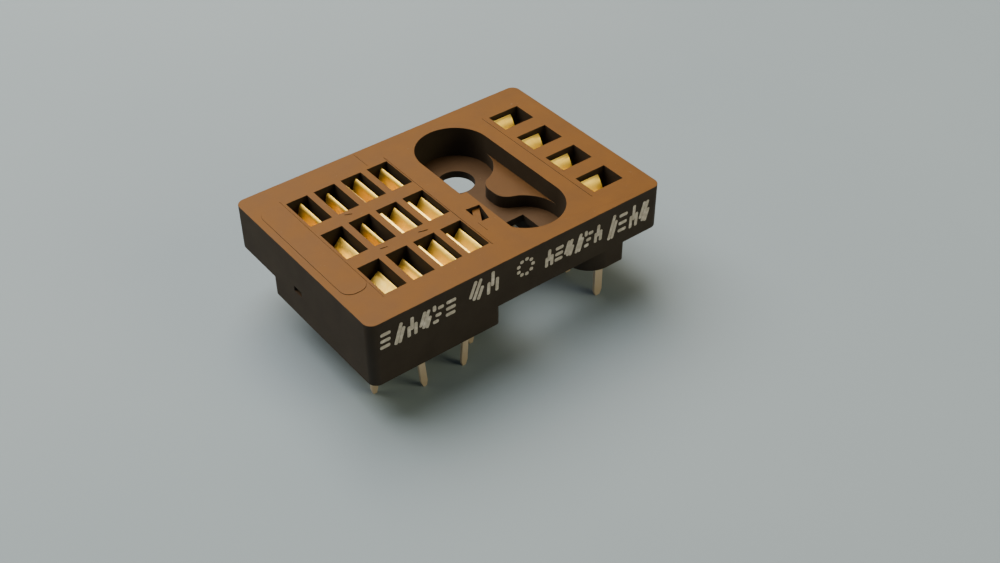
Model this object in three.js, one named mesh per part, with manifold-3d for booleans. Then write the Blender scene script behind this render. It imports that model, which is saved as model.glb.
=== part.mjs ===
// A printed-circuit relay socket: a moulded housing with a grid of contact cells and a row of coil
// cells, two tail plates that close it from below, and sixteen two-leaf contacts with soldering tails.
// Millimetres, +Z up. The origin is under the centre of the flange, at the level of the tail tips.

import * as THREE from "three";
import { mergeVertices } from "three/addons/utils/BufferGeometryUtils.js";
import Module from "manifold-3d";

const wasm = await Module();
wasm.setup();

// ---------------------------------------------------------------- driving dimensions

const INCH = 25.4;
const LENGTH = 1.11 * INCH; // along X
const WIDTH = 0.75 * INCH; // along Y
const FLANGE_DEPTH = 0.16 * INCH; // top face to the underside of the flange
const BLOCK_DEPTH = 0.23 * INCH; // top face to the underside of the blocks
const TAIL_REACH = 3.5; // soldering tails below the blocks
const HEIGHT = BLOCK_DEPTH + TAIL_REACH;
const CORNER_R = 0.76;
const WALL = 0.55; // skirt of the blocks around the tail plates
const GAP = 0.05; // between pieces that touch
const PAST = 1; // how far a cutting tool runs past the face it opens

// Plan positions are measured from the flange's left front corner, and depths from its top face.
const ORIGIN = new THREE.Vector3(-LENGTH / 2, -WIDTH / 2, HEIGHT);

// Contact grid.
const COLUMNS = 4;
const ROWS = 3;
const COLUMN_PITCH = 0.1 * INCH;
const ROW_PITCH = 0.2 * INCH;
const FIRST_CELL = { x: 4.06, y: 4.34 };
const CELL = { x: 1.94, y: 3.7 };
const CELL_DEPTH = 3.5;

// Coil cells, at the right end.
const COILS = 4;
const COIL_PITCH = 0.15 * INCH;
const FIRST_COIL = { x: 24.3, y: 3.68 };
const COIL_CELL = { low: 23.25, high: 26.3, y: 2.3 };

// Blocks under the flange.
const MAIN_BLOCK = { low: 0, high: 11.77, back: 14.0, cornerR: 0.4 };
const COIL_BLOCK = { low: 20.38, high: 24.57, back: 16.8, cornerR: 2.3 };
const COIL_STEP = { low: 21.4, front: 12.6 }; // the block stands back beside the stud hole
const MAIN_END_WALL = 0.4; // the skirt is thinner beside the last column

// Pocket for the relay's stud and coil frame.
const POCKET = { x: 18, r: 3.3, front: 4.85, back: 14.25, depth: 2.85 };
const POCKET_LIP = { right: 15.25, back: 8.85 }; // straightens the left side of the front well
const SADDLE = { left: 18.3, depth: 1.7, cornerR: 1.4 };
const STUD_HOLE = { x: 17.72, y: 13.65, r: 1.6 };
const RELIEF = { x: 17.6, r: 2.6, front: 4.85, back: 13.9, depth: 3.5 }; // thins the floor from below
const FLOOR_WINDOW = { right: 19.3, back: 6.65 };
const NOTCH = [[13.78, 7], [15.02, 6.85], [14.6, 5.05], [13.75, 5.05]]; // key notch beside the pocket
const NOTCH_DEPTH = 1.7;
const NOTCH_RIB = { points: [[14.4, 7], [14.98, 6.8], [13.95, 5.05], [13.75, 5.9]], depth: 0.28 };

// Latch of the main tail plate, which shows in a window of the end face.
const LATCH = { y: 10.1, width: 1.0, thickness: 0.3, barb: 0.42, low: 3.45, high: 3.05 };
const LATCH_ROOM = 0.12;
const LATCH_CHANNEL = { high: 1.4, top: 2.8 };

// Contact strip. Each leaf's section is a band along points (offset from the cell's centre, depth).
const STRIP = 0.2;
const LEAF_WIDTH = 3.3;
const LEAF_SHIFT = -0.1; // the leaves stand towards the front of their cells
const COIL_LEAF_WIDTH = 1.8;
const MOVING_PINCH = [-0.2, 1.5];
const FIXED_PINCH = [-0.62, 1.5];
const LIP = [0.16, 0.14]; // the last bend of a moving leaf, short of its edge
const PINCH_SHARE = 0.25; // of how far a mouth is spread
const COIL_MOVING_LEAF = [[0.1, 3.06], [-0.05, 1.3], [0.54, 0.38], [0.72, 0.22]];
const COIL_FIXED_LEAF = [[-0.72, 3.25], [-0.52, 1.4], [-0.9, 0.74]];

// Where the top edges of the two leaves stand in each cell, row by row from the front: the contacts
// are not all seated or spread alike.
const MOVING_MOUTHS = [
  [[0.7, 0.95], [0.42, 0.88], [0.72, 0.42], [0.72, 0.55]],
  [[0.62, 0.78], [0.2, 0.45], [0.66, 0.32], [0.72, 0.46]],
  [[0.26, 0.36], [0.22, 0.46], [0.4, 0.24], [0.38, 0.32]],
];
const FIXED_MOUTHS = [
  [[-0.74, 0.9], [-0.8, 0.74], [-0.68, 0.33], [-0.62, 0.4]],
  [[-0.8, 0.74], [-0.8, 0.74], [-0.7, 0.24], [-0.62, 0.32]],
  [[-0.8, 0.74], [-0.8, 0.74], [-0.76, 0.45], [-0.8, 0.6]],
];
const ROOT_DEPTH = 3.25; // middle of the plate that joins a contact's leaves
const ROOT_HIGH = 0.3; // how far that plate runs under the moving leaf
const NECK_OFFSET = -0.6;
const NECK_WIDTH = 0.5;
const JOG_DEPTH = 4.35;
const THROAT = { x: 0.7, y: 0.6 };

// Soldering tails: (offset from the cell's centre along X, along Y, lean of the tip along X) by column.
const TAILS = [
  { x: -1.25, y: -1.6, lean: -0.12 },
  { x: -1.79, y: -3.3, lean: 0.3 },
  { x: 0.0, y: -3.3, lean: -0.28 },
  { x: -0.94, y: -1.6, lean: 0.1 },
];
const CORNER_TAIL = { x: -2.31, y: -1.6, lean: -0.12 }; // the corner contact reaches nearer the end
const TAIL = { width: 0.56, thickness: 0.25, tip: 0.5, tipWidth: 0.3 };
const COIL_TAIL = { x: 22.67, y: -2.7, width: 0.8 };
const TAIL_ROOM = 0.1; // clearance of a tail in its plate

const PLATE = { top: 4.6, bottom: 5.64 };

// ---------------------------------------------------------------- materials

const plastic = new THREE.MeshStandardMaterial({ color: 0x3a2c20, roughness: 0.45, metalness: 0 });
const platePlastic = new THREE.MeshStandardMaterial({ color: 0x2b2521, roughness: 0.6, metalness: 0 });
const gold = new THREE.MeshStandardMaterial({ color: 0xe2bd6a, roughness: 0.3, metalness: 1 });
const spring = new THREE.MeshStandardMaterial({ color: 0xe8c878, roughness: 0.28, metalness: 1 });

// ---------------------------------------------------------------- solids

function solid(geometry) {
  const bare = geometry.index ? geometry.toNonIndexed() : geometry.clone();
  bare.deleteAttribute("normal");
  bare.deleteAttribute("uv");
  const merged = mergeVertices(bare, 1e-5);
  return new wasm.Manifold(
    new wasm.Mesh({
      numProp: 3,
      vertProperties: merged.attributes.position.array,
      triVerts: new Uint32Array(merged.index.array),
    }),
  );
}

function geometryOf(manifold) {
  const made = manifold.getMesh();
  const geometry = new THREE.BufferGeometry();
  geometry.setAttribute("position", new THREE.BufferAttribute(made.vertProperties, 3));
  geometry.setIndex(new THREE.BufferAttribute(made.triVerts, 1));
  geometry.computeVertexNormals();
  return geometry;
}

function joined(solids) {
  return solids.reduce((a, b) => a.add(b));
}

// A box between plan limits and two depths.
function block(lowX, highX, lowY, highY, top, bottom) {
  const box = new THREE.BoxGeometry(highX - lowX, highY - lowY, bottom - top);
  box.translate((lowX + highX) / 2, (lowY + highY) / 2, -(top + bottom) / 2);
  return solid(box);
}

// A plan outline carried down from one depth to another.
function slab(shape, top, bottom, curveSegments = 12) {
  const extruded = new THREE.ExtrudeGeometry(shape, {
    depth: bottom - top,
    bevelEnabled: false,
    curveSegments,
  });
  extruded.translate(0, 0, -bottom);
  return solid(extruded);
}

function post(x, y, r, top, bottom) {
  const drum = new THREE.CylinderGeometry(r, r, bottom - top, 48);
  drum.rotateX(Math.PI / 2);
  drum.translate(x, y, -(top + bottom) / 2);
  return solid(drum);
}

// A rectangle with its own radius at each corner: left front, right front, right back, left back.
function plan(lowX, highX, lowY, highY, [lf, rf, rb, lb]) {
  const shape = new THREE.Shape();
  shape.moveTo(lowX + lf, lowY);
  shape.lineTo(highX - rf, lowY);
  if (rf) shape.absarc(highX - rf, lowY + rf, rf, -Math.PI / 2, 0);
  shape.lineTo(highX, highY - rb);
  if (rb) shape.absarc(highX - rb, highY - rb, rb, 0, Math.PI / 2);
  shape.lineTo(lowX + lb, highY);
  if (lb) shape.absarc(lowX + lb, highY - lb, lb, Math.PI / 2, Math.PI);
  shape.lineTo(lowX, lowY + lf);
  if (lf) shape.absarc(lowX + lf, lowY + lf, lf, Math.PI, 1.5 * Math.PI);
  return shape;
}

function stadium(x, front, back, r) {
  const shape = new THREE.Shape();
  shape.absarc(x, front, r, Math.PI, 2 * Math.PI);
  shape.absarc(x, back, r, 0, Math.PI);
  shape.closePath();
  return shape;
}

// The outline of a band of one thickness along a polyline of (offset, depth), with mitred bends.
function bandShape(points, thickness) {
  const line = points.map(([offset, depth]) => new THREE.Vector2(offset, -depth));
  const side = (i) => {
    const along = [];
    if (i > 0) along.push(line[i].clone().sub(line[i - 1]).normalize());
    if (i < line.length - 1) along.push(line[i + 1].clone().sub(line[i]).normalize());
    const normals = along.map((d) => new THREE.Vector2(-d.y, d.x));
    const mean = normals.reduce((a, b) => a.clone().add(b)).normalize();
    return mean.multiplyScalar(thickness / 2 / mean.dot(normals[0]));
  };
  const left = line.map((p, i) => p.clone().add(side(i)));
  const right = line.map((p, i) => p.clone().sub(side(i)));
  return new THREE.Shape([...left, ...right.reverse()]);
}

// A band whose section lies in the XZ plane, as wide along Y as width, centred at (x, y).
function bandAcrossX(points, thickness, width, x, y) {
  const extruded = new THREE.ExtrudeGeometry(bandShape(points, thickness), {
    depth: width,
    bevelEnabled: false,
  });
  extruded.rotateX(Math.PI / 2);
  extruded.translate(x, y + width / 2, 0);
  return solid(extruded);
}

// The same band with its section in the YZ plane, as wide along X.
function bandAcrossY(points, thickness, width, x, y) {
  const extruded = new THREE.ExtrudeGeometry(bandShape(points, thickness), {
    depth: width,
    bevelEnabled: false,
  });
  extruded.rotateX(Math.PI / 2);
  extruded.rotateZ(Math.PI / 2);
  extruded.translate(x - width / 2, y, 0);
  return solid(extruded);
}

// A flat strip between two plan points, at one depth, with its ends run on by half its width.
function jog(from, to, width, depth) {
  const along = to.clone().sub(from);
  const length = along.length() + width;
  const strip = new THREE.BoxGeometry(length, width, STRIP);
  strip.rotateZ(Math.atan2(along.y, along.x));
  strip.translate((from.x + to.x) / 2, (from.y + to.y) / 2, -depth);
  return solid(strip);
}

// A soldering tail: straight through its plate, then leaning to a narrowed tip.
function tail(x, y, width, lean) {
  const tipWidth = TAIL.tipWidth * (width / TAIL.width);
  const knee = BLOCK_DEPTH;
  const taper = HEIGHT - TAIL.tip;
  const leanAtTaper = lean * ((taper - knee) / (HEIGHT - knee));
  const shape = new THREE.Shape([
    new THREE.Vector2(-width / 2, -JOG_DEPTH),
    new THREE.Vector2(-width / 2, -knee),
    new THREE.Vector2(leanAtTaper - width / 2, -taper),
    new THREE.Vector2(lean - tipWidth / 2, -HEIGHT),
    new THREE.Vector2(lean + tipWidth / 2, -HEIGHT),
    new THREE.Vector2(leanAtTaper + width / 2, -taper),
    new THREE.Vector2(width / 2, -knee),
    new THREE.Vector2(width / 2, -JOG_DEPTH),
  ]);
  const extruded = new THREE.ExtrudeGeometry(shape, { depth: TAIL.thickness, bevelEnabled: false });
  extruded.rotateX(Math.PI / 2);
  extruded.translate(x, y + TAIL.thickness / 2, 0);
  return solid(extruded);
}

// ---------------------------------------------------------------- cell places

const cells = [];
for (let row = 0; row < ROWS; row++)
  for (let column = 0; column < COLUMNS; column++)
    cells.push({
      name: `r${row + 1}_c${column + 1}`,
      moving: MOVING_MOUTHS[row][column],
      fixed: FIXED_MOUTHS[row][column],
      tail: row + column === 0 ? CORNER_TAIL : TAILS[column],
      x: FIRST_CELL.x + column * COLUMN_PITCH,
      y: FIRST_CELL.y + row * ROW_PITCH,
    });

const coils = [];
for (let i = 0; i < COILS; i++)
  coils.push({ name: `${i + 1}`, x: FIRST_COIL.x, y: FIRST_COIL.y + i * COIL_PITCH });

function tailOf({ x, y, tail: spot }) {
  return { x: x + spot.x, y: y + spot.y, lean: spot.lean };
}

function coilTailOf(coil) {
  return { x: COIL_TAIL.x, y: coil.y + COIL_TAIL.y, lean: 0 };
}

// ---------------------------------------------------------------- housing

function cellCuts() {
  const half = { x: CELL.x / 2, y: CELL.y / 2 };
  return cells.flatMap(({ x, y }) => [
    block(x - half.x, x + half.x, y - half.y, y + half.y, -PAST, CELL_DEPTH),
    block(
      x + NECK_OFFSET - THROAT.x / 2,
      x + NECK_OFFSET + THROAT.x / 2,
      y - half.y,
      y - half.y + THROAT.y,
      CELL_DEPTH - PAST,
      FLANGE_DEPTH + PAST / 2,
    ),
  ]);
}

function coilCuts() {
  const half = COIL_CELL.y / 2;
  return coils.flatMap(({ y }) => [
    block(COIL_CELL.low, COIL_CELL.high, y - half, y + half, -PAST, CELL_DEPTH),
    block(
      COIL_CELL.low,
      COIL_CELL.low + THROAT.y,
      y - THROAT.x / 2,
      y + THROAT.x / 2,
      CELL_DEPTH - PAST,
      FLANGE_DEPTH + PAST / 2,
    ),
  ]);
}

// The saddle between the two wells, with rounded corners where its left end meets them.
function saddlePlan() {
  const { r, x, front, back } = POCKET;
  const { left, cornerR } = SADDLE;
  const corner = left + cornerR;
  const reach = Math.sqrt((r + cornerR) ** 2 - (corner - x) ** 2);
  const lean = Math.atan2(reach, corner - x);
  const shape = new THREE.Shape();
  shape.moveTo(x + r + PAST, front);
  shape.lineTo(x + r, front);
  shape.absarc(x, front, r, 0, lean);
  shape.absarc(corner, front + reach, cornerR, Math.PI + lean, Math.PI, true);
  shape.absarc(corner, back - reach, cornerR, Math.PI, Math.PI - lean, true);
  shape.absarc(x, back, r, -lean, 0);
  shape.lineTo(x + r + PAST, back);
  return shape;
}

function polygon(points) {
  return new THREE.Shape(points.map(([x, y]) => new THREE.Vector2(x, y)));
}

function pocketCuts() {
  const { x, r, front, back, depth } = POCKET;
  const lip = block(x - r - PAST, POCKET_LIP.right, front - r, POCKET_LIP.back, -2 * PAST, depth + PAST);
  const whole = slab(stadium(x, front, back, r), -PAST, depth, 24)
    .subtract(slab(saddlePlan(), SADDLE.depth, depth + PAST, 24))
    .subtract(lip);
  const window = post(x, front, r, depth - PAST, FLANGE_DEPTH)
    .intersect(
      block(POCKET_LIP.right, FLOOR_WINDOW.right, front - r, FLOOR_WINDOW.back, 0, FLANGE_DEPTH),
    );
  return [
    whole,
    window,
    post(STUD_HOLE.x, STUD_HOLE.y, STUD_HOLE.r, depth - PAST, FLANGE_DEPTH),
    slab(stadium(RELIEF.x, RELIEF.front, RELIEF.back, RELIEF.r), RELIEF.depth, FLANGE_DEPTH + PAST, 24),
    keyNotchCut(),
  ];
}

// The key notch beside the pocket keeps a rib that crosses it on the slant.
function keyNotchCut() {
  return slab(polygon(NOTCH), -PAST, NOTCH_DEPTH)
    .subtract(slab(polygon(NOTCH_RIB.points), NOTCH_RIB.depth, NOTCH_DEPTH + PAST));
}

function latchCuts() {
  const halfWidth = LATCH.width / 2 + LATCH_ROOM;
  return [
    block(
      WALL,
      LATCH_CHANNEL.high,
      LATCH.y - halfWidth,
      LATCH.y + halfWidth,
      LATCH_CHANNEL.top,
      FLANGE_DEPTH + PAST / 2,
    ),
    block(
      -PAST,
      WALL + PAST / 2,
      LATCH.y - LATCH.width / 2 - GAP,
      LATCH.y + LATCH.width / 2 + GAP,
      LATCH.high - GAP,
      LATCH.low + GAP,
    ),
  ];
}

const mainRecess = {
  low: MAIN_BLOCK.low + WALL,
  high: MAIN_BLOCK.high - MAIN_END_WALL,
  front: WALL,
  back: MAIN_BLOCK.back - WALL,
};
const coilRecess = {
  low: COIL_BLOCK.low + WALL,
  high: COIL_BLOCK.high - WALL,
  front: WALL,
  back: COIL_BLOCK.back - WALL,
};
const COIL_RECESS_R = COIL_BLOCK.cornerR - WALL;

function recessPlan(recess, cornerR, inset) {
  return plan(
    recess.low + inset,
    recess.high - inset,
    recess.front + inset,
    recess.back - inset,
    [cornerR ? cornerR - inset : 0, 0, 0, 0],
  );
}

// Takes the step out of a slab of the coil block, its recess or its plate: wall is the skirt left
// beside the step.
function stepCut(wall, top, bottom) {
  const { low, front } = COIL_STEP;
  return block(COIL_BLOCK.low - PAST, low + wall, front - wall, COIL_BLOCK.back + PAST, top, bottom);
}

function makeHousing() {
  const r = CORNER_R;
  const small = MAIN_BLOCK.cornerR;
  const flange = slab(plan(0, LENGTH, 0, WIDTH, [r, r, r, r]), 0, FLANGE_DEPTH);
  const mainBlock = slab(
    plan(MAIN_BLOCK.low, MAIN_BLOCK.high, 0, MAIN_BLOCK.back, [r, small, small, small]),
    FLANGE_DEPTH / 2,
    BLOCK_DEPTH,
  );
  const coilBlock = slab(
    plan(COIL_BLOCK.low, COIL_BLOCK.high, 0, COIL_BLOCK.back, [COIL_BLOCK.cornerR, small, small, small]),
    FLANGE_DEPTH - PAST / 2,
    BLOCK_DEPTH,
  ).subtract(stepCut(0, FLANGE_DEPTH, BLOCK_DEPTH + PAST));
  const cuts = [
    ...cellCuts(),
    ...coilCuts(),
    ...pocketCuts(),
    ...latchCuts(),
    slab(recessPlan(mainRecess, 0, 0), FLANGE_DEPTH, BLOCK_DEPTH + PAST),
    slab(recessPlan(coilRecess, COIL_RECESS_R, 0), FLANGE_DEPTH, BLOCK_DEPTH + PAST)
      .subtract(stepCut(WALL, FLANGE_DEPTH - PAST, BLOCK_DEPTH + 2 * PAST)),
  ];
  return joined([flange, mainBlock, coilBlock]).subtract(joined(cuts));
}

// ---------------------------------------------------------------- tail plates

function tailSlot({ x, y }, width) {
  const halfX = width / 2 + TAIL_ROOM;
  const halfY = TAIL.thickness / 2 + TAIL_ROOM;
  return block(x - halfX, x + halfX, y - halfY, y + halfY, PLATE.top - PAST, PLATE.bottom + PAST);
}

function makeMainPlate() {
  const sheet = slab(recessPlan(mainRecess, 0, GAP), PLATE.top, PLATE.bottom);
  const tongueLow = mainRecess.low + GAP;
  const tongue = block(
    tongueLow,
    tongueLow + LATCH.thickness,
    LATCH.y - LATCH.width / 2,
    LATCH.y + LATCH.width / 2,
    LATCH.high,
    PLATE.bottom,
  );
  const barbShape = new THREE.Shape([
    new THREE.Vector2(tongueLow + LATCH.thickness / 2, -LATCH.low),
    new THREE.Vector2(tongueLow - LATCH.barb, -LATCH.low),
    new THREE.Vector2(tongueLow, -LATCH.high),
    new THREE.Vector2(tongueLow + LATCH.thickness / 2, -LATCH.high),
  ]);
  const barb = new THREE.ExtrudeGeometry(barbShape, { depth: LATCH.width, bevelEnabled: false });
  barb.rotateX(Math.PI / 2);
  barb.translate(0, LATCH.y + LATCH.width / 2, 0);
  return joined([sheet, tongue, solid(barb)]).subtract(
    joined(cells.map((cell) => tailSlot(tailOf(cell), TAIL.width))),
  );
}

function makeCoilPlate() {
  const slots = coils.map((coil) => tailSlot(coilTailOf(coil), COIL_TAIL.width));
  return slab(recessPlan(coilRecess, COIL_RECESS_R, GAP), PLATE.top, PLATE.bottom)
    .subtract(stepCut(WALL + GAP, PLATE.top - PAST, PLATE.bottom + PAST))
    .subtract(joined(slots));
}

// ---------------------------------------------------------------- contacts

function movingPoints({ moving: [offset, depth] }) {
  const [pinch, pinchDepth] = MOVING_PINCH;
  return [
    [0.1, ROOT_DEPTH - 0.19],
    [pinch + PINCH_SHARE * offset, pinchDepth],
    [offset - LIP[0], depth + LIP[1]],
    [offset, depth],
  ];
}

function fixedPoints({ fixed, moving }) {
  const [pinch, pinchDepth] = FIXED_PINCH;
  return [[-0.72, ROOT_DEPTH], [pinch + PINCH_SHARE * moving[0], pinchDepth], fixed];
}

// The fixed half of a grid contact: one leaf, the root plate, the neck, the jog and the tail.
function makeTerminal(cell) {
  const middle = cell.y + LEAF_SHIFT;
  const front = middle - LEAF_WIDTH / 2;
  const neckX = cell.x + NECK_OFFSET;
  const spot = tailOf(cell);
  const points = fixedPoints(cell);
  const [rootOffset] = points[0];
  return joined([
    bandAcrossX(points, STRIP, LEAF_WIDTH, cell.x, middle),
    block(
      cell.x + rootOffset - STRIP / 2,
      cell.x + ROOT_HIGH,
      front,
      front + LEAF_WIDTH,
      ROOT_DEPTH - STRIP / 2,
      ROOT_DEPTH + STRIP / 2,
    ),
    block(
      neckX - NECK_WIDTH / 2,
      neckX + NECK_WIDTH / 2,
      front,
      front + STRIP,
      ROOT_DEPTH,
      JOG_DEPTH + STRIP / 2,
    ),
    jog(
      new THREE.Vector2(neckX, front + STRIP / 2),
      new THREE.Vector2(spot.x, spot.y),
      STRIP * 1.5,
      JOG_DEPTH,
    ),
    tail(spot.x, spot.y, TAIL.width, spot.lean),
  ]);
}

function makeLeaf(cell) {
  return bandAcrossX(movingPoints(cell), STRIP, LEAF_WIDTH, cell.x, cell.y + LEAF_SHIFT);
}

// The fixed half of a coil contact, turned a quarter so that its leaves face along Y.
function makeCoilTerminal(coil) {
  const left = coil.x - COIL_LEAF_WIDTH / 2;
  const neckX = COIL_CELL.low + THROAT.y / 2 - STRIP / 2;
  const spot = coilTailOf(coil);
  const [rootOffset] = COIL_FIXED_LEAF[0];
  return joined([
    bandAcrossY(COIL_FIXED_LEAF, STRIP, COIL_LEAF_WIDTH, coil.x, coil.y),
    block(
      neckX,
      left + COIL_LEAF_WIDTH,
      coil.y + rootOffset - STRIP / 2,
      coil.y + ROOT_HIGH,
      ROOT_DEPTH - STRIP / 2,
      ROOT_DEPTH + STRIP / 2,
    ),
    block(
      neckX,
      neckX + STRIP,
      coil.y - NECK_WIDTH / 2,
      coil.y + NECK_WIDTH / 2,
      ROOT_DEPTH,
      JOG_DEPTH + STRIP / 2,
    ),
    jog(
      new THREE.Vector2(neckX + STRIP / 2, coil.y),
      new THREE.Vector2(spot.x, spot.y),
      STRIP * 2,
      JOG_DEPTH,
    ),
    tail(spot.x, spot.y, COIL_TAIL.width, spot.lean),
  ]);
}

function makeCoilLeaf(coil) {
  return bandAcrossY(COIL_MOVING_LEAF, STRIP, COIL_LEAF_WIDTH, coil.x, coil.y);
}

// ---------------------------------------------------------------- assembly

const socket = new THREE.Group();
socket.position.copy(ORIGIN);

function add(name, manifold, material) {
  const mesh = new THREE.Mesh(geometryOf(manifold), material);
  mesh.name = name;
  socket.add(mesh);
}

add("housing", makeHousing(), plastic);
add("tail_plate_main", makeMainPlate(), platePlastic);
add("tail_plate_coil", makeCoilPlate(), platePlastic);
for (const cell of cells) {
  add(`terminal_${cell.name}`, makeTerminal(cell), gold);
  add(`leaf_${cell.name}`, makeLeaf(cell), spring);
}
for (const coil of coils) {
  add(`coil_terminal_${coil.name}`, makeCoilTerminal(coil), gold);
  add(`coil_leaf_${coil.name}`, makeCoilLeaf(coil), spring);
}

const part = new THREE.Group();
part.add(socket);

export default part;
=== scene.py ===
import math

import bmesh
import bpy
from mathutils import Matrix, Vector


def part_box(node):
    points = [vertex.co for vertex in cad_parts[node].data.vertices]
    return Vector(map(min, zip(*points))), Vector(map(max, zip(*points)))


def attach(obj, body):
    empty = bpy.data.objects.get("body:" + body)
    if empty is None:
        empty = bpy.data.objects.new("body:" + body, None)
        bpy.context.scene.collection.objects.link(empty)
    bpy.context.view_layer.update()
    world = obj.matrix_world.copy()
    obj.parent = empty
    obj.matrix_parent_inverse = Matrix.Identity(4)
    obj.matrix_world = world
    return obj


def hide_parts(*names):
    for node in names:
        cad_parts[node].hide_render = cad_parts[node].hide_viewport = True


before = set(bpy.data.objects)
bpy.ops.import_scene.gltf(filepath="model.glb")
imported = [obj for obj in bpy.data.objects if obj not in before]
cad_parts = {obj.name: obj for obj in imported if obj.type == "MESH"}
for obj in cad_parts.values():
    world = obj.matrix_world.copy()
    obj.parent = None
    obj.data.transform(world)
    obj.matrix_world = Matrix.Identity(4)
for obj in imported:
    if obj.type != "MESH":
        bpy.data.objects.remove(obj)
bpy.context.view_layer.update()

# Printed-circuit relay socket: a dark moulding with a painted warm brown sheen on its top and charcoal
# sides, gold spring contacts, tinned tails and printed marks.
# Everything is in metres, in the imported model's frame.

MM = 0.001

ROOT = "socket"
ROWS, COLUMNS, COILS = 3, 4, 4
HOUSING_LOW, HOUSING_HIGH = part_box("housing")
TOP = HOUSING_HIGH.z
FLANGE_DEPTH = 4.064 * MM


def at(x, y, depth):
    """A point from its millimetres from the left front corner of the top face, and its depth."""
    return Vector((HOUSING_LOW.x + x * MM, HOUSING_LOW.y + y * MM, TOP - depth * MM))


# ---------------------------------------------------------------- camera, light and floor

AIM = Vector((0.00047, -0.00587, 0.00378))
DISTANCE = 0.10592
AZIMUTH, ELEVATION, ROLL = math.radians(-37.83), math.radians(39.93), math.radians(-0.3)
SENSOR = 36.0
LENS = 47.77


def make_camera():
    back = Vector((
        math.sin(AZIMUTH) * math.cos(ELEVATION),
        -math.cos(AZIMUTH) * math.cos(ELEVATION),
        math.sin(ELEVATION),
    ))
    data = bpy.data.cameras.new("camera")
    data.sensor_width, data.lens = SENSOR, LENS
    data.clip_start, data.clip_end = 0.001, 10
    camera = bpy.data.objects.new("camera", data)
    bpy.context.scene.collection.objects.link(camera)
    turn = (-back).to_track_quat("-Z", "Y").to_matrix() @ Matrix.Rotation(ROLL, 3, "Z")
    camera.matrix_world = Matrix.Translation(AIM + back * DISTANCE) @ turn.to_4x4()
    bpy.context.scene.camera = camera


def make_light(name, place, aim, size, power, colour):
    data = bpy.data.lights.new(name, "AREA")
    data.shape, data.size, data.energy, data.color = "DISK", size, power, colour
    lamp = bpy.data.objects.new(name, data)
    bpy.context.scene.collection.objects.link(lamp)
    turn = (Vector(aim) - Vector(place)).to_track_quat("-Z", "Y")
    lamp.matrix_world = Matrix.Translation(place) @ turn.to_matrix().to_4x4()


def make_studio():
    world = bpy.data.worlds.new("studio")
    bpy.context.scene.world = world
    world.use_nodes = True
    world.node_tree.nodes["Background"].inputs["Color"].default_value = (0.60, 0.80, 1.0, 1)
    world.node_tree.nodes["Background"].inputs["Strength"].default_value = 0.065
    middle = (0, 0, TOP)
    make_light("sheen_light", (0.17, 0.23, 0.26), middle, 0.22, 0.40, (1.0, 0.70, 0.36))
    make_light("key_light", (-0.02, 0.20, 0.34), middle, 0.46, 3.7, (1.0, 0.90, 0.76))
    make_light("end_reflector", (-0.29, 0.24, 0.15), middle, 0.26, 0.34, (1.0, 0.88, 0.46))
    make_light("front_reflector", (0.19, -0.31, 0.20), middle, 0.24, 0.60, (1.0, 0.88, 0.50))
    make_light("fill_light", (-0.34, -0.26, 0.20), middle, 0.34, 0.05, (0.80, 0.90, 1.0))


def make_floor():
    deselect()
    bpy.ops.mesh.primitive_plane_add(size=3, location=(0, 0, 0))
    floor = bpy.context.object
    floor.name = "floor"
    material, shader = new_material("floor_card")
    tree = material.node_tree
    noise = node(tree, "ShaderNodeTexNoise", {"Scale": 14.0, "Detail": 4.0})
    tree.links.new(coordinates(tree), noise.inputs["Vector"])
    colour = tint(tree, noise.outputs["Fac"], (0.22, 0.29, 0.365), (0.245, 0.315, 0.39))
    tree.links.new(colour, shader.inputs["Base Color"])
    shader.inputs["Roughness"].default_value = 0.85
    floor.data.materials.append(material)


# ---------------------------------------------------------------- modelling helpers


def deselect():
    if bpy.context.object and bpy.context.object.mode != "OBJECT":
        bpy.ops.object.mode_set(mode="OBJECT")
    bpy.ops.object.select_all(action="DESELECT")


def activate(piece):
    deselect()
    piece.select_set(True)
    bpy.context.view_layer.objects.active = piece


def select_faces(piece, wanted):
    """Leaves the piece in edit mode with the faces selected for which wanted(face) holds."""
    activate(piece)
    bpy.ops.object.mode_set(mode="EDIT")
    bpy.ops.mesh.select_mode(type="FACE")
    bpy.ops.mesh.select_all(action="DESELECT")
    body = bmesh.from_edit_mesh(piece.data)
    body.normal_update()
    for face in body.faces:
        face.select_set(wanted(face))
    bmesh.update_edit_mesh(piece.data)


def merged_copy(name, node_name):
    """A copy of a CAD node as one clean surface with flat faces."""
    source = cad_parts[node_name]
    mesh = source.data.copy()
    mesh.name = name
    mesh.materials.clear()
    piece = bpy.data.objects.new(name, mesh)
    bpy.context.scene.collection.objects.link(piece)
    activate(piece)
    bpy.ops.object.mode_set(mode="EDIT")
    bpy.ops.mesh.select_all(action="SELECT")
    bpy.ops.mesh.remove_doubles(threshold=1e-6)
    bpy.ops.mesh.customdata_custom_splitnormals_clear()
    select_faces(piece, lambda face: face.normal.z > -0.5)
    bpy.ops.mesh.dissolve_limited(angle_limit=math.radians(0.4))
    bpy.ops.object.mode_set(mode="OBJECT")
    return piece


def bevel_edges(piece, wanted, width, segments=2, low=30, high=180):
    """Rounds the edges that turn by low to high degrees, if wanted(a, b) of their ends holds."""
    activate(piece)
    bpy.ops.object.mode_set(mode="EDIT")
    bpy.ops.mesh.select_mode(type="EDGE")
    bpy.ops.mesh.select_all(action="DESELECT")
    body = bmesh.from_edit_mesh(piece.data)
    for edge in body.edges:
        turn = math.degrees(edge.calc_face_angle(0))
        edge.select_set(low <= turn <= high and wanted(*(v.co for v in edge.verts)))
    bmesh.update_edit_mesh(piece.data)
    bpy.ops.mesh.bevel(offset=width, segments=segments, affect="EDGES", clamp_overlap=True)
    bpy.ops.object.mode_set(mode="OBJECT")


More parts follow.
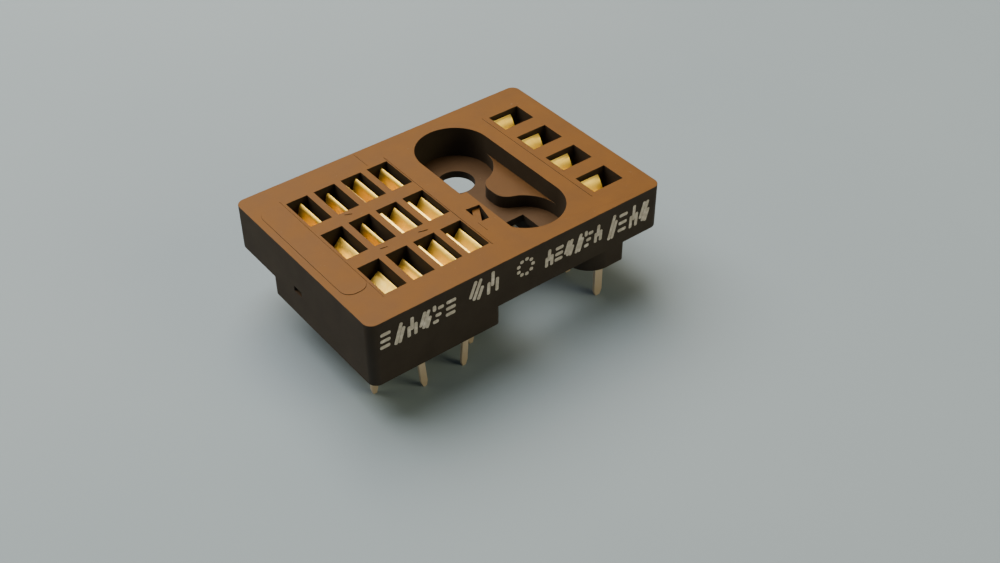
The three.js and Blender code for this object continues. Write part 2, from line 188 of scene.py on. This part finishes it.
def finish_faces(piece, material, body, degrees=38):
    """Smooth faces with flat ones kept flat, a material and a body to ride on."""
    activate(piece)
    bpy.ops.object.shade_smooth_by_angle(angle=math.radians(degrees))
    normals = piece.modifiers.new("flat_faces", "WEIGHTED_NORMAL")
    normals.keep_sharp = True
    normals.weight = 100
    bpy.ops.object.modifier_apply(modifier=normals.name)
    piece.data.materials.clear()
    piece.data.materials.append(material)
    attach(piece, body)


def place_in_mesh():
    bpy.ops.object.transform_apply(location=True, rotation=True, scale=True)


def add_block(low, high):
    """A block between two opposite corners, left selected and active."""
    deselect()
    bpy.ops.mesh.primitive_cube_add(size=1, location=(low + high) / 2, scale=high - low)
    place_in_mesh()
    return bpy.context.object


def join_pieces(pieces, name):
    activate(pieces[0])
    for piece in pieces:
        piece.select_set(True)
    bpy.ops.object.join()
    whole = bpy.context.object
    whole.name = whole.data.name = name
    return whole


# ---------------------------------------------------------------- shading helpers


def node(tree, kind, values=(), **settings):
    made = tree.nodes.new(kind)
    for key, value in settings.items():
        setattr(made, key, value)
    for key, value in dict(values).items():
        made.inputs[key].default_value = value
    return made


def new_material(name):
    material = bpy.data.materials.new(name)
    material.use_nodes = True
    return material, material.node_tree.nodes["Principled BSDF"]


def coordinates(tree):
    return node(tree, "ShaderNodeTexCoord").outputs["Object"]


def tint(tree, factor, low, high, start=0.3, end=0.7):
    ramp = node(tree, "ShaderNodeValToRGB")
    ramp.color_ramp.elements[0].position, ramp.color_ramp.elements[1].position = start, end
    ramp.color_ramp.elements[0].color = (*low, 1)
    ramp.color_ramp.elements[1].color = (*high, 1)
    tree.links.new(factor, ramp.inputs["Fac"])
    return ramp.outputs["Color"]


def new_group(name, inputs, outputs):
    """A node group: inputs and outputs map socket names to (kind, start value)."""
    group = bpy.data.node_groups.new(name, "ShaderNodeTree")
    for side, sockets in (("INPUT", inputs), ("OUTPUT", outputs)):
        for socket_name, (kind, value) in sockets.items():
            socket = group.interface.new_socket(socket_name, in_out=side, socket_type=kind)
            if value is not None:
                socket.default_value = value
    return group, group.nodes.new("NodeGroupInput"), group.nodes.new("NodeGroupOutput")


FLOAT, VECTOR = "NodeSocketFloat", "NodeSocketVector"


def make_grain_group():
    """Moulded or rolled surface: slow mottling, and the height of a fine grain."""
    group, given, out = new_group(
        "fine_grain",
        {"Vector": (VECTOR, None), "Mottle Scale": (FLOAT, 300.0), "Grain Scale": (FLOAT, 9000.0)},
        {"Mottle": (FLOAT, None), "Height": (FLOAT, None)},
    )
    slow = node(group, "ShaderNodeTexNoise", {"Detail": 6.0, "Roughness": 0.6})
    fine = node(group, "ShaderNodeTexNoise", {"Detail": 3.0, "Roughness": 0.65})
    spread = node(group, "ShaderNodeMapRange", {"From Min": 0.32, "From Max": 0.68})
    group.links.new(given.outputs["Vector"], slow.inputs["Vector"])
    group.links.new(given.outputs["Vector"], fine.inputs["Vector"])
    group.links.new(given.outputs["Mottle Scale"], slow.inputs["Scale"])
    group.links.new(given.outputs["Grain Scale"], fine.inputs["Scale"])
    group.links.new(slow.outputs["Fac"], spread.inputs["Value"])
    group.links.new(spread.outputs["Result"], out.inputs["Mottle"])
    group.links.new(fine.outputs["Fac"], out.inputs["Height"])
    return group


def make_wear_group():
    """A mask of rubbed outer edges, broken up by a noise."""
    group, given, out = new_group(
        "edge_wear",
        {
            "Vector": (VECTOR, None),
            "Start": (FLOAT, 0.52),
            "Full": (FLOAT, 0.6),
            "Breakup": (FLOAT, 900.0),
        },
        {"Mask": (FLOAT, None)},
    )
    shape = node(group, "ShaderNodeNewGeometry")
    edge = node(group, "ShaderNodeMapRange")
    noise = node(group, "ShaderNodeTexNoise", {"Detail": 4.0})
    rough = node(group, "ShaderNodeMapRange", {"From Min": 0.35, "From Max": 0.62})
    both = node(group, "ShaderNodeMath", operation="MULTIPLY")
    group.links.new(shape.outputs["Pointiness"], edge.inputs["Value"])
    group.links.new(given.outputs["Start"], edge.inputs["From Min"])
    group.links.new(given.outputs["Full"], edge.inputs["From Max"])
    group.links.new(given.outputs["Vector"], noise.inputs["Vector"])
    group.links.new(given.outputs["Breakup"], noise.inputs["Scale"])
    group.links.new(noise.outputs["Fac"], rough.inputs["Value"])
    group.links.new(edge.outputs["Result"], both.inputs[0])
    group.links.new(rough.outputs["Result"], both.inputs[1])
    group.links.new(both.outputs["Value"], out.inputs["Mask"])
    return group


def make_dust_group():
    """A mask of sparse specks that lie on faces turned upwards."""
    group, given, out = new_group(
        "settled_dust",
        {"Vector": (VECTOR, None), "Scale": (FLOAT, 1800.0), "Threshold": (FLOAT, 0.68)},
        {"Mask": (FLOAT, None)},
    )
    shape = node(group, "ShaderNodeNewGeometry")
    split = node(group, "ShaderNodeSeparateXYZ")
    up = node(group, "ShaderNodeMapRange", {"From Min": 0.5, "From Max": 0.95})
    noise = node(group, "ShaderNodeTexNoise", {"Detail": 5.0, "Roughness": 0.7})
    over = node(group, "ShaderNodeMath", operation="SUBTRACT")
    lift = node(group, "ShaderNodeMath", {1: 9.0}, operation="MULTIPLY", use_clamp=True)
    both = node(group, "ShaderNodeMath", operation="MULTIPLY")
    group.links.new(shape.outputs["Normal"], split.inputs["Vector"])
    group.links.new(split.outputs["Z"], up.inputs["Value"])
    group.links.new(given.outputs["Vector"], noise.inputs["Vector"])
    group.links.new(given.outputs["Scale"], noise.inputs["Scale"])
    group.links.new(noise.outputs["Fac"], over.inputs[0])
    group.links.new(given.outputs["Threshold"], over.inputs[1])
    group.links.new(over.outputs["Value"], lift.inputs[0])
    group.links.new(up.outputs["Result"], both.inputs[0])
    group.links.new(lift.outputs["Value"], both.inputs[1])
    group.links.new(both.outputs["Value"], out.inputs["Mask"])
    return group


def make_rim_group():
    """A mask of the narrow slopes between level and upright faces, broken up by a noise."""
    group, given, out = new_group(
        "rubbed_rim",
        {"Vector": (VECTOR, None), "Breakup": (FLOAT, 1400.0)},
        {"Mask": (FLOAT, None)},
    )
    shape = node(group, "ShaderNodeNewGeometry")
    split = node(group, "ShaderNodeSeparateXYZ")
    square = node(group, "ShaderNodeMath", operation="MULTIPLY")
    rest = node(group, "ShaderNodeMath", {0: 1.0}, operation="SUBTRACT")
    slope = node(group, "ShaderNodeMath", operation="MULTIPLY")
    edge = node(group, "ShaderNodeMapRange", {"From Min": 0.04, "From Max": 0.20})
    noise = node(group, "ShaderNodeTexNoise", {"Detail": 4.0})
    rough = node(group, "ShaderNodeMapRange", {"From Min": 0.34, "From Max": 0.60})
    both = node(group, "ShaderNodeMath", operation="MULTIPLY")
    group.links.new(shape.outputs["Normal"], split.inputs["Vector"])
    group.links.new(split.outputs["Z"], square.inputs[0])
    group.links.new(split.outputs["Z"], square.inputs[1])
    group.links.new(square.outputs["Value"], rest.inputs[1])
    group.links.new(square.outputs["Value"], slope.inputs[0])
    group.links.new(rest.outputs["Value"], slope.inputs[1])
    group.links.new(slope.outputs["Value"], edge.inputs["Value"])
    group.links.new(given.outputs["Vector"], noise.inputs["Vector"])
    group.links.new(given.outputs["Breakup"], noise.inputs["Scale"])
    group.links.new(noise.outputs["Fac"], rough.inputs["Value"])
    group.links.new(edge.outputs["Result"], both.inputs[0])
    group.links.new(rough.outputs["Result"], both.inputs[1])
    group.links.new(both.outputs["Value"], out.inputs["Mask"])
    return group


def make_painted_sheen_group():
    """A mask of painted light: faces turned upwards get a painted sheen, full at the height High and
    fading to nothing at Low, which leaves painted shade in the recesses.
    """
    group, given, out = new_group(
        "painted_sheen_and_shade",
        {"Vector": (VECTOR, None), "Low": (FLOAT, 0.0), "High": (FLOAT, 1.0)},
        {"Mask": (FLOAT, None)},
    )
    shape = node(group, "ShaderNodeNewGeometry")
    facing = node(group, "ShaderNodeSeparateXYZ")
    up = node(group, "ShaderNodeMapRange", {"From Min": 0.55, "From Max": 0.95})
    place = node(group, "ShaderNodeSeparateXYZ")
    height = node(group, "ShaderNodeMapRange")
    both = node(group, "ShaderNodeMath", operation="MULTIPLY")
    group.links.new(shape.outputs["Normal"], facing.inputs["Vector"])
    group.links.new(facing.outputs["Z"], up.inputs["Value"])
    group.links.new(given.outputs["Vector"], place.inputs["Vector"])
    group.links.new(place.outputs["Z"], height.inputs["Value"])
    group.links.new(given.outputs["Low"], height.inputs["From Min"])
    group.links.new(given.outputs["High"], height.inputs["From Max"])
    group.links.new(up.outputs["Result"], both.inputs[0])
    group.links.new(height.outputs["Result"], both.inputs[1])
    group.links.new(both.outputs["Value"], out.inputs["Mask"])
    return group


GRAIN, WEAR, DUST = make_grain_group(), make_wear_group(), make_dust_group()
RIM, PAINTED_SHEEN = make_rim_group(), make_painted_sheen_group()


def use_group(tree, group, vector, values=()):
    made = tree.nodes.new("ShaderNodeGroup")
    made.node_tree = group
    for key, value in dict(values).items():
        made.inputs[key].default_value = value
    tree.links.new(vector, made.inputs["Vector"])
    return made


def blend(tree, factor, low, high):
    """Mixes two colours, each a socket or three numbers, by a mask."""
    mix = node(tree, "ShaderNodeMix", data_type="RGBA")
    for socket, colour in ((mix.inputs["A"], low), (mix.inputs["B"], high)):
        if isinstance(colour, tuple):
            socket.default_value = (*colour, 1)
        else:
            tree.links.new(colour, socket)
    tree.links.new(factor, mix.inputs["Factor"])
    return mix.outputs["Result"]


def scaled(tree, value, low, high):
    made = node(tree, "ShaderNodeMapRange", {"To Min": low, "To Max": high})
    tree.links.new(value, made.inputs["Value"])
    return made.outputs["Result"]


def roughen(tree, shader, height, distance, strength=1.0):
    bump = node(tree, "ShaderNodeBump", {"Strength": strength, "Distance": distance})
    tree.links.new(height, bump.inputs["Height"])
    tree.links.new(bump.outputs["Normal"], shader.inputs["Normal"])


SIDE_ROUGHNESS = 0.74
DUST_COLOUR = (0.34, 0.29, 0.23)
# The brown of the upper faces is a painted sheen, and its fade with depth paints shade in the recesses.
SHEEN_DEPTHS = (4.0, 0.3)  # millimetres down where the painted brown sheen of the upper faces ends and is full
TIN_DEPTHS = (5.9, 4.7)  # millimetres down where the tin of the tails is full and ends
TIN_ROUGHNESS = 0.52
TIN_METALLIC = 0.45
RUBBED_GOLD = (0.98, 0.80, 0.28)


def moulded_plastic(name, sides, tops, worn, roughness, dust=0.5):
    """Thermoset moulding with duller sides and glossier tops, each given as a dark and a light tone
    that mottle together, with the tops' tone a painted warm sheen that fades to painted shade in the
    recesses, paler rubbed rims, a few specks of dust and a fine grain."""
    material, shader = new_material(name)
    tree = material.node_tree
    place = coordinates(tree)
    grain = use_group(tree, GRAIN, place, {"Mottle Scale": 420.0, "Grain Scale": 7000.0})
    rim = use_group(tree, RIM, place, {"Breakup": 1400.0})
    upper = use_group(tree, PAINTED_SHEEN, place, {
        "Low": at(0, 0, SHEEN_DEPTHS[0]).z, "High": at(0, 0, SHEEN_DEPTHS[1]).z,
    })
    specks = use_group(tree, DUST, place, {"Scale": 2600.0, "Threshold": 0.67})
    side_colour = blend(tree, grain.outputs["Mottle"], *sides)
    painted_sheen_colour = blend(tree, grain.outputs["Mottle"], *tops)
    # Painted sheen: the upper faces take the warm top colour, fading with depth to the side colour as
    # painted shade in recesses.
    colour = blend(tree, upper.outputs["Mask"], side_colour, painted_sheen_colour)
    colour = blend(tree, scaled(tree, rim.outputs["Mask"], 0.0, 0.6), colour, worn)
    colour = blend(tree, scaled(tree, specks.outputs["Mask"], 0.0, dust), colour, DUST_COLOUR)
    tree.links.new(colour, shader.inputs["Base Color"])
    duller = node(tree, "ShaderNodeMix", {"A": SIDE_ROUGHNESS})
    tree.links.new(upper.outputs["Mask"], duller.inputs["Factor"])
    tree.links.new(scaled(tree, grain.outputs["Mottle"], *roughness), duller.inputs["B"])
    tree.links.new(duller.outputs["Result"], shader.inputs["Roughness"])
    roughen(tree, shader, grain.outputs["Height"], 0.004 * MM, 0.6)
    shader.inputs["Specular IOR Level"].default_value = 0.2
    return material


def contact_metal(name, gold_dark, gold_light, tinned=None):
    """Rolled strip with a drawn grain, gold plated, and dull tinned below the housing where asked."""
    material, shader = new_material(name)
    tree = material.node_tree
    place = coordinates(tree)
    grain = use_group(tree, GRAIN, place, {"Mottle Scale": 900.0, "Grain Scale": 14000.0})
    wear = use_group(tree, WEAR, place, {"Breakup": 4000.0})
    drawn = node(tree, "ShaderNodeMapping", {"Scale": (900.0, 900.0, 9000.0)})
    lines = node(tree, "ShaderNodeTexNoise", {"Scale": 1.0, "Detail": 3.0})
    tree.links.new(place, drawn.inputs["Vector"])
    tree.links.new(drawn.outputs["Vector"], lines.inputs["Vector"])
    colour = blend(tree, grain.outputs["Mottle"], gold_dark, gold_light)
    colour = blend(tree, scaled(tree, wear.outputs["Mask"], 0.0, 0.6), colour, RUBBED_GOLD)
    roughness = scaled(tree, lines.outputs["Fac"], 0.38, 0.52)
    if tinned:
        split = node(tree, "ShaderNodeSeparateXYZ")
        tree.links.new(place, split.inputs["Vector"])
        below = node(tree, "ShaderNodeMapRange", {
            "From Min": at(0, 0, TIN_DEPTHS[0]).z, "From Max": at(0, 0, TIN_DEPTHS[1]).z,
            "To Min": 1.0, "To Max": 0.0,
        })
        tree.links.new(split.outputs["Z"], below.inputs["Value"])
        colour = blend(tree, below.outputs["Result"], colour, tinned)
        dull = node(tree, "ShaderNodeMix", {"B": TIN_ROUGHNESS})
        tree.links.new(below.outputs["Result"], dull.inputs["Factor"])
        tree.links.new(roughness, dull.inputs["A"])
        roughness = dull.outputs["Result"]
        oxide = scaled(tree, below.outputs["Result"], 1.0, TIN_METALLIC)
        tree.links.new(oxide, shader.inputs["Metallic"])
    tree.links.new(colour, shader.inputs["Base Color"])
    tree.links.new(roughness, shader.inputs["Roughness"])
    shader.inputs["Metallic"].default_value = 1.0
    roughen(tree, shader, lines.outputs["Fac"], 0.003 * MM, 0.5)
    return material


def printed_ink():
    """Pale stamped ink, thin enough in places for the moulding to show."""
    material, shader = new_material("marking_ink")
    tree = material.node_tree
    place = coordinates(tree)
    grain = use_group(tree, GRAIN, place, {"Mottle Scale": 2600.0, "Grain Scale": 9000.0})
    wear = use_group(tree, WEAR, place, {"Breakup": 3000.0})
    colour = blend(tree, grain.outputs["Mottle"], (0.42, 0.36, 0.31), (0.82, 0.75, 0.67))
    colour = blend(tree, wear.outputs["Mask"], colour, (0.50, 0.45, 0.38))
    tree.links.new(colour, shader.inputs["Base Color"])
    tree.links.new(scaled(tree, grain.outputs["Mottle"], 0.8, 0.55), shader.inputs["Roughness"])
    roughen(tree, shader, grain.outputs["Height"], 0.003 * MM)
    return material


# ---------------------------------------------------------------- housing

POCKET = {"x": 18.0, "r": 3.3, "front": 4.85, "back": 14.25}
SADDLE_DEPTH = 1.7
LEVEL = 0.02 * MM  # how near a depth an edge counts as lying at it


def all_at(depth):
    level = at(0, 0, depth).z
    return lambda a, b: max(abs(a.z - level), abs(b.z - level)) < LEVEL


def on_outline(point):
    side = min(point.x - HOUSING_LOW.x, HOUSING_HIGH.x - point.x)
    end = min(point.y - HOUSING_LOW.y, HOUSING_HIGH.y - point.y)
    return min(side, end) < 0.3 * MM


def make_housing(material):
    housing = merged_copy("housing_moulding", "housing")
    top = all_at(0)
    saddle = all_at(SADDLE_DEPTH)
    under = TOP - FLANGE_DEPTH + LEVEL
    well = at(POCKET["x"] - POCKET["r"] - 0.2, 0, 0).x
    bevel_edges(housing, lambda a, b: saddle(a, b) and min(a.x, b.x) > well, 0.2 * MM, 3)
    bevel_edges(housing, lambda a, b: top(a, b) and on_outline(a) and on_outline(b), 0.13 * MM, 3)
    bevel_edges(housing, lambda a, b: top(a, b) and not on_outline(a), 0.05 * MM, 2)
    bevel_edges(
        housing, lambda a, b: max(a.z, b.z) < under and on_outline(a) and on_outline(b), 0.06 * MM, 2
    )
    finish_faces(housing, material, ROOT)
    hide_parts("housing")


# Low lines that the mould leaves on the top face: (x, y, x, y, width, height) in millimetres.
MOULD_LINES = [
    (12.80, 2.3, 12.80, 16.9, 0.10, 0.045),
    (2.86, 2.3, 2.86, 16.9, 0.07, 0.03),
    (22.72, 2.2, 22.72, 16.5, 0.08, 0.04),
    (11.10, 16.8, 11.10, 18.8, 0.10, 0.03),
    (5.75, 7.05, 6.35, 6.95, 0.06, 0.05),
    (9.20, 6.95, 9.95, 6.75, 0.07, 0.06),
    (5.95, 12.3, 6.50, 12.05, 0.06, 0.05),
    (13.55, 5.0, 13.55, 3.9, 0.06, 0.03),
]


def make_mould_lines(material):
    """Rounded low ridges, each a block drawn out along its line with its upper edges rounded."""
    ridges = []
    for x1, y1, x2, y2, width, height in MOULD_LINES:
        start, end = at(x1, y1, 0), at(x2, y2, 0)
        middle = (start + end) / 2
        half = Vector(((end - start).length / 2, width * MM / 2, height * MM))
        ridge = add_block(Vector((-half.x, -half.y, -half.z)), half)
        bevel_edges(ridge, lambda a, b: min(a.z, b.z) > 0, 0.45 * min(width / 2, height) * MM, 3, 60)
        activate(ridge)
        turn = math.atan2(end.y - start.y, end.x - start.x)
        ridge.matrix_world = Matrix.Translation(middle) @ Matrix.Rotation(turn, 4, "Z")
        place_in_mesh()
        ridges.append(ridge)
    finish_faces(join_pieces(ridges, "mould_lines"), material, ROOT)


END_PANEL = {"left": 0.62, "right": 2.78, "front": 3.8, "back": 16.6, "corner": 0.9, "rise": 0.05}


def make_end_panel(material):
    """The slightly raised pad at the left end, with rounded corners."""
    low = at(END_PANEL["left"], END_PANEL["front"], 0.3)
    high = at(END_PANEL["right"], END_PANEL["back"], -END_PANEL["rise"])
    panel = add_block(low, high)
    upright = lambda a, b: abs(a.z - b.z) > 0.1 * MM
    bevel_edges(panel, upright, END_PANEL["corner"] * MM, 8, 60)
    bevel_edges(panel, lambda a, b: min(a.z, b.z) > TOP, 0.03 * MM, 2, 60)
    finish_faces(panel, material, ROOT)
    panel.name = panel.data.name = "end_panel"


EJECTOR_MARKS = [(13.4, 2.2), (13.4, 16.9), (26.4, 2.4), (26.4, 16.6), (3.0, 16.6)]


def make_ejector_marks(material):
    """Shallow round bosses where pins push the moulding out of its mould, under the flange."""
    marks = []
    for x, y in EJECTOR_MARKS:
        deselect()
        bpy.ops.mesh.primitive_cylinder_add(
            vertices=40, radius=0.7 * MM, depth=0.2 * MM, location=at(x, y, 4.064 + 0.06)
        )
        place_in_mesh()
        mark = bpy.context.object
        bottom = min(v.co.z for v in mark.data.vertices)
        bevel_edges(mark, lambda a, b: max(a.z, b.z) < bottom + LEVEL, 0.05 * MM, 2, 60)
        select_faces(mark, lambda face: face.normal.z < -0.9)
        bpy.ops.mesh.inset(thickness=0.12 * MM)
        bpy.ops.transform.translate(value=(0, 0, 0.05 * MM))
        bpy.ops.object.mode_set(mode="OBJECT")
        marks.append(mark)
    finish_faces(join_pieces(marks, "ejector_marks"), material, ROOT)


# Stamped marks on the front face: strokes that stand for nothing. Each mark is drawn in a cell one
# wide and one high, as strokes (x, y, x, y).
STROKES = {
    "rungs": [(0.1, 0.2, 0.8, 0.2), (0.15, 0.5, 0.85, 0.5), (0.2, 0.82, 0.9, 0.82)],
    "slant": [(0.2, 0.05, 0.75, 0.95), (0.55, 0.05, 0.95, 0.7)],
    "steps": [
        (0.1, 0.15, 0.45, 0.15), (0.35, 0.45, 0.7, 0.45), (0.6, 0.78, 0.95, 0.78), (0.2, 0.75, 0.2, 0.95),
    ],
    "fence": [(0.2, 0.1, 0.25, 0.55), (0.5, 0.4, 0.55, 0.95), (0.8, 0.1, 0.85, 0.6)],
    "hatch": [(0.1, 0.3, 0.5, 0.9), (0.35, 0.15, 0.85, 0.9), (0.65, 0.1, 0.95, 0.55)],
}
# (first x, last x, top depth, bottom depth, marks) in millimetres along the front face.
MARK_GROUPS = [
    (0.8, 7.8, 0.85, 2.7, ["rungs", "slant", "fence", "hatch", "steps", "rungs"]),
    (8.8, 11.9, 0.35, 2.5, ["hatch", "fence"]),
    (16.1, 22.1, 1.0, 2.7, ["fence", "rungs", "hatch", "slant", "steps", "fence"]),
    (22.5, 27.1, 0.8, 3.1, ["slant", "rungs", "fence", "hatch"]),
]
DOTTED_RING = {"x": 14.2, "depth": 1.5, "r": 0.72, "dots": 9}
INK = {"width": 0.30, "height": 0.018}


def add_stroke(x1, depth1, x2, depth2):
    """A flat printed stroke between two points of the front face."""
    start, end = at(x1, 0, depth1), at(x2, 0, depth2)
    reach = (end - start).length / 2 + 0.3 * INK["width"] * MM
    half = Vector((reach, INK["height"] * MM, INK["width"] * MM / 2))
    stroke = add_block(-half, half)
    bevel_edges(stroke, lambda a, b: abs(a.y - b.y) > half.y, 0.4 * INK["width"] * MM, 3, 60)
    activate(stroke)
    turn = math.atan2(end.z - start.z, end.x - start.x)
    stroke.matrix_world = Matrix.Translation((start + end) / 2) @ Matrix.Rotation(-turn, 4, "Y")
    place_in_mesh()
    return stroke


def make_printed_marks(material):
    strokes = []
    for first, last, top, bottom, marks in MARK_GROUPS:
        step = (last - first) / len(marks)
        for i, mark in enumerate(marks):
            left, wide, high = first + i * step, step * 0.86, bottom - top
            strokes += [
                add_stroke(left + x1 * wide, bottom - y1 * high, left + x2 * wide, bottom - y2 * high)
                for x1, y1, x2, y2 in STROKES[mark]
            ]
    for i in range(DOTTED_RING["dots"]):
        turn = 2 * math.pi * i / DOTTED_RING["dots"]
        x = DOTTED_RING["x"] + DOTTED_RING["r"] * math.cos(turn)
        depth = DOTTED_RING["depth"] + DOTTED_RING["r"] * math.sin(turn)
        strokes.append(add_stroke(x - 0.08, depth, x + 0.08, depth))
    finish_faces(join_pieces(strokes, "printed_marks"), material, ROOT)


# ---------------------------------------------------------------- contacts and tail plates


def round_strip(piece, bend, rim):
    """Rounds a bent strip's bends, then breaks its edges."""
    everywhere = lambda a, b: True
    bevel_edges(piece, everywhere, bend, 5, 4, 58)
    bevel_edges(piece, everywhere, rim, 2, 60, 125)


def make_leaf(name, material):
    leaf = merged_copy(f"{name}_strip", name)
    round_strip(leaf, 0.12 * MM, 0.02 * MM)
    finish_faces(leaf, material, name, 50)
    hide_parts(name)


def make_terminal(name, material):
    terminal = merged_copy(f"{name}_strip", name)
    round_strip(terminal, 0.06 * MM, 0.02 * MM)
    finish_faces(terminal, material, ROOT, 50)
    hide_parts(name)


def make_tail_plate(name, material):
    plate = merged_copy(f"{name}_moulding", name)
    bottom = min(v.co.z for v in plate.data.vertices)
    bevel_edges(plate, lambda a, b: max(a.z, b.z) < bottom + LEVEL, 0.04 * MM, 2)
    finish_faces(plate, material, ROOT)
    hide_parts(name)


make_camera()
make_studio()
make_floor()

# The tops pair is a painted warm sheen, faded with depth to paint shade in the pocket and recesses.
housing_plastic = moulded_plastic(
    "moulding_painted_sheen",
    ((0.035, 0.026, 0.019), (0.045, 0.034, 0.025)),
    ((0.114, 0.045, 0.004), (0.142, 0.058, 0.006)),
    (0.20, 0.11, 0.045),
    (0.50, 0.58),
)
# The lighter tops pair is a painted sheen here too, through the same upward-face and depth mask.
plate_plastic = moulded_plastic(
    "dark_moulding",
    ((0.016, 0.013, 0.010), (0.023, 0.018, 0.014)),
    ((0.024, 0.018, 0.012), (0.032, 0.024, 0.017)),
    (0.05, 0.04, 0.03),
    (0.50, 0.62),
    0.2,
)
leaf_gold = contact_metal("leaf_gold", (0.88, 0.585, 0.075), (0.94, 0.68, 0.13))
strip_gold = contact_metal(
    "strip_gold_and_tin", (0.84, 0.545, 0.075), (0.92, 0.64, 0.13), (0.68, 0.55, 0.41)
)
ink = printed_ink()

make_housing(housing_plastic)
make_mould_lines(housing_plastic)
make_end_panel(housing_plastic)
make_ejector_marks(housing_plastic)
make_printed_marks(ink)
for plate in ("tail_plate_main", "tail_plate_coil"):
    make_tail_plate(plate, plate_plastic)
cells = [f"r{row + 1}_c{column + 1}" for row in range(ROWS) for column in range(COLUMNS)]
for cell in cells:
    make_leaf(f"leaf_{cell}", leaf_gold)
    make_terminal(f"terminal_{cell}", strip_gold)
for coil in range(1, COILS + 1):
    make_leaf(f"coil_leaf_{coil}", leaf_gold)
    make_terminal(f"coil_terminal_{coil}", strip_gold)
